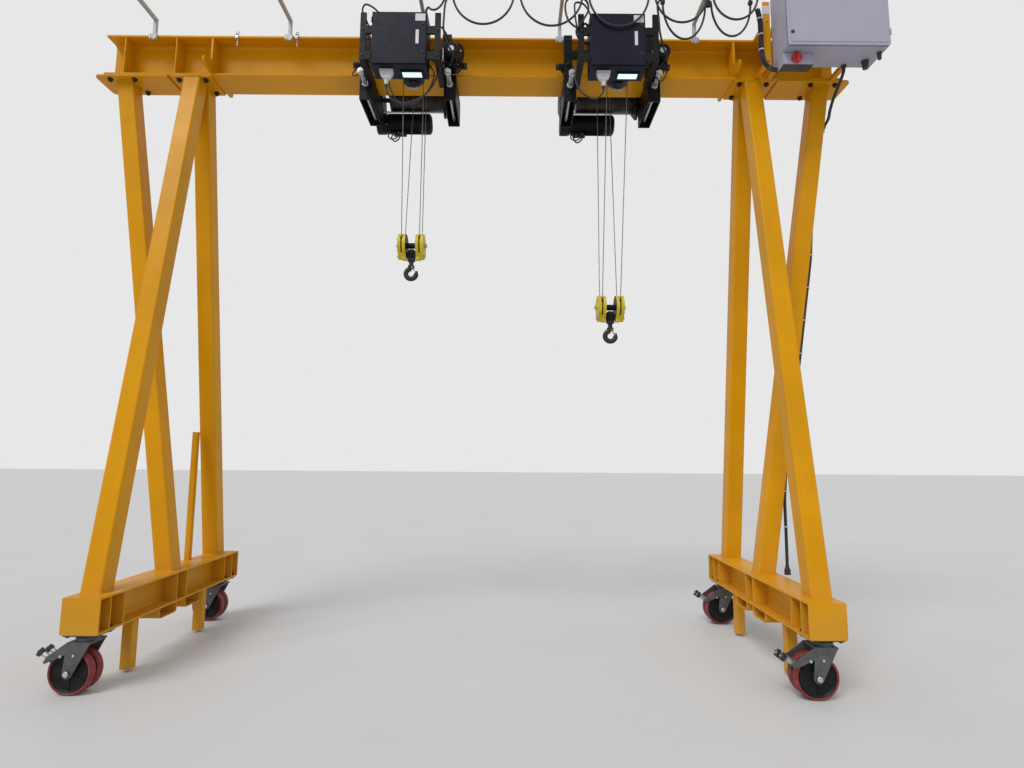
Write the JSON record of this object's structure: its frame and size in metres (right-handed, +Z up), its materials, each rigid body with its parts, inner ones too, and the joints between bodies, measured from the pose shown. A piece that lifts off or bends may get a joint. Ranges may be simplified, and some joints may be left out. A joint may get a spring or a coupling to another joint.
{
  "type": "gantry crane",
  "caption": "Mobile gantry crane: fixed I-section girder on splayed legs with swivel casters, travelling rope hoists, control cabinet and festoon cables.",
  "frame": {"origin": "on the floor, under the middle of the girder", "axes": "+X along the girder towards the cabinet, +Y away from the front, +Z up"},
  "size_m": [6.982, 2.1, 5.656],
  "materials": {
    "yellow_paint": "semi-gloss",
    "navy_paint": "satin",
    "hook_black": "satin",
    "machined_steel": "machined",
    "rope_steel": "greased",
    "caster_steel": "satin",
    "red_tread": "matte",
    "galvanised": "galvanised",
    "cabinet_grey": "matte",
    "switch_black": "matte",
    "cable_black": "matte"
  },
  "bodies": {
    "crane": {"girder": "yellow_paint", "girder_stiffeners": "yellow_paint", "trolley_stops": "yellow_paint", "head_plates": "yellow_paint", "left_front_leg": "yellow_paint", "left_rear_leg": "yellow_paint", "left_outer_leg": "yellow_paint", "right_front_leg": "yellow_paint", "right_rear_leg": "yellow_paint", "right_outer_leg": "yellow_paint", "left_carriage": "yellow_paint", "right_carriage": "yellow_paint", "parking_feet": "yellow_paint", "fork_pockets": "yellow_paint", "cable_post": "yellow_paint", "cabinet_shell": "cabinet_grey", "cabinet_mounting_plate": "galvanised", "cabinet_bracket": "yellow_paint", "main_switch": "switch_black", "festoon_rails": "galvanised", "rail_arms": "galvanised", "supply_cable": "cable_black", "left_festoon_cable": "cable_black", "right_festoon_cable": "cable_black", "caster_plates": "caster_steel"},
    "door_leaf": {"cabinet_door": "cabinet_grey"},
    "left_trolley": {"left_trolley_frame": "navy_paint", "left_trolley_wheels": "machined_steel", "left_drum": "machined_steel", "left_gearbox": "navy_paint", "left_hoist_motor": "navy_paint", "left_travel_drive": "navy_paint", "left_control_box": "navy_paint", "left_upper_sheave": "machined_steel", "left_ropes": "rope_steel", "left_sheave_ropes": "rope_steel"},
    "left_block": {"left_hook_block": "yellow_paint"},
    "left_swivel_hook": {"left_hook": "hook_black"},
    "right_trolley": {"right_trolley_frame": "navy_paint", "right_trolley_wheels": "machined_steel", "right_drum": "machined_steel", "right_gearbox": "navy_paint", "right_hoist_motor": "navy_paint", "right_travel_drive": "navy_paint", "right_control_box": "navy_paint", "right_upper_sheave": "machined_steel", "right_ropes": "rope_steel", "right_sheave_ropes": "rope_steel"},
    "right_block": {"right_hook_block": "yellow_paint"},
    "right_swivel_hook": {"right_hook": "hook_black"},
    "front_left_caster": {"front_left_fork": "caster_steel"},
    "front_left_wheel_pair": {"front_left_wheels": "red_tread"},
    "front_right_caster": {"front_right_fork": "caster_steel"},
    "front_right_wheel_pair": {"front_right_wheels": "red_tread"},
    "rear_left_caster": {"rear_left_fork": "caster_steel"},
    "rear_left_wheel_pair": {"rear_left_wheels": "red_tread"},
    "rear_right_caster": {"rear_right_fork": "caster_steel"},
    "rear_right_wheel_pair": {"rear_right_wheels": "red_tread"}
  },
  "joints": [
    {"name": "left_trolley_travel", "type": "slide", "parent": "crane", "child": "left_trolley", "axis": [1, 0, 0], "range_m": [-1.31, 0.805], "deforming": ["left_festoon_cable"]},
    {"name": "left_hoist", "type": "slide", "parent": "left_trolley", "child": "left_block", "axis": [0, 0, 1], "range_m": [-2.9, 1], "deforming": ["left_ropes", "left_sheave_ropes"]},
    {"name": "left_hook_swivel", "type": "hinge", "parent": "left_block", "child": "left_swivel_hook", "pos_m": [-0.54, 0, 3.4], "axis": [0, 0, 1], "continuous": true},
    {"name": "right_trolley_travel", "type": "slide", "parent": "crane", "child": "right_trolley", "axis": [1, 0, 0], "range_m": [-0.805, 0.595], "deforming": ["right_festoon_cable"]},
    {"name": "right_hoist", "type": "slide", "parent": "right_trolley", "child": "right_block", "axis": [0, 0, 1], "range_m": [-2.35, 1.55], "deforming": ["right_ropes", "right_sheave_ropes"]},
    {"name": "right_hook_swivel", "type": "hinge", "parent": "right_block", "child": "right_swivel_hook", "pos_m": [1.257, 0, 2.8], "axis": [0, 0, 1], "continuous": true},
    {"name": "cabinet_door_hinge", "type": "hinge", "parent": "crane", "child": "door_leaf", "pos_m": [3.4875, -0.712, 5.338], "axis": [0, 0, 1], "range_deg": [0, 120]},
    {"name": "front_left_caster_swivel", "type": "hinge", "parent": "crane", "child": "front_left_caster", "pos_m": [-2.54, -0.94, 0.37], "axis": [0, 0, 1], "continuous": true},
    {"name": "front_left_wheel_roll", "type": "hinge", "parent": "front_left_caster", "child": "front_left_wheel_pair", "pos_m": [-2.61, -0.94, 0.15], "axis": [0, 1, 0], "continuous": true},
    {"name": "front_right_caster_swivel", "type": "hinge", "parent": "crane", "child": "front_right_caster", "pos_m": [2.54, -0.94, 0.37], "axis": [0, 0, 1], "continuous": true},
    {"name": "front_right_wheel_roll", "type": "hinge", "parent": "front_right_caster", "child": "front_right_wheel_pair", "pos_m": [2.47, -0.94, 0.15], "axis": [0, 1, 0], "continuous": true},
    {"name": "rear_left_caster_swivel", "type": "hinge", "parent": "crane", "child": "rear_left_caster", "pos_m": [-2.54, 0.94, 0.37], "axis": [0, 0, 1], "continuous": true},
    {"name": "rear_left_wheel_roll", "type": "hinge", "parent": "rear_left_caster", "child": "rear_left_wheel_pair", "pos_m": [-2.61, 0.94, 0.15], "axis": [0, 1, 0], "continuous": true},
    {"name": "rear_right_caster_swivel", "type": "hinge", "parent": "crane", "child": "rear_right_caster", "pos_m": [2.54, 0.94, 0.37], "axis": [0, 0, 1], "continuous": true},
    {"name": "rear_right_wheel_roll", "type": "hinge", "parent": "rear_right_caster", "child": "rear_right_wheel_pair", "pos_m": [2.47, 0.94, 0.15], "axis": [0, 1, 0], "continuous": true}
  ]
}
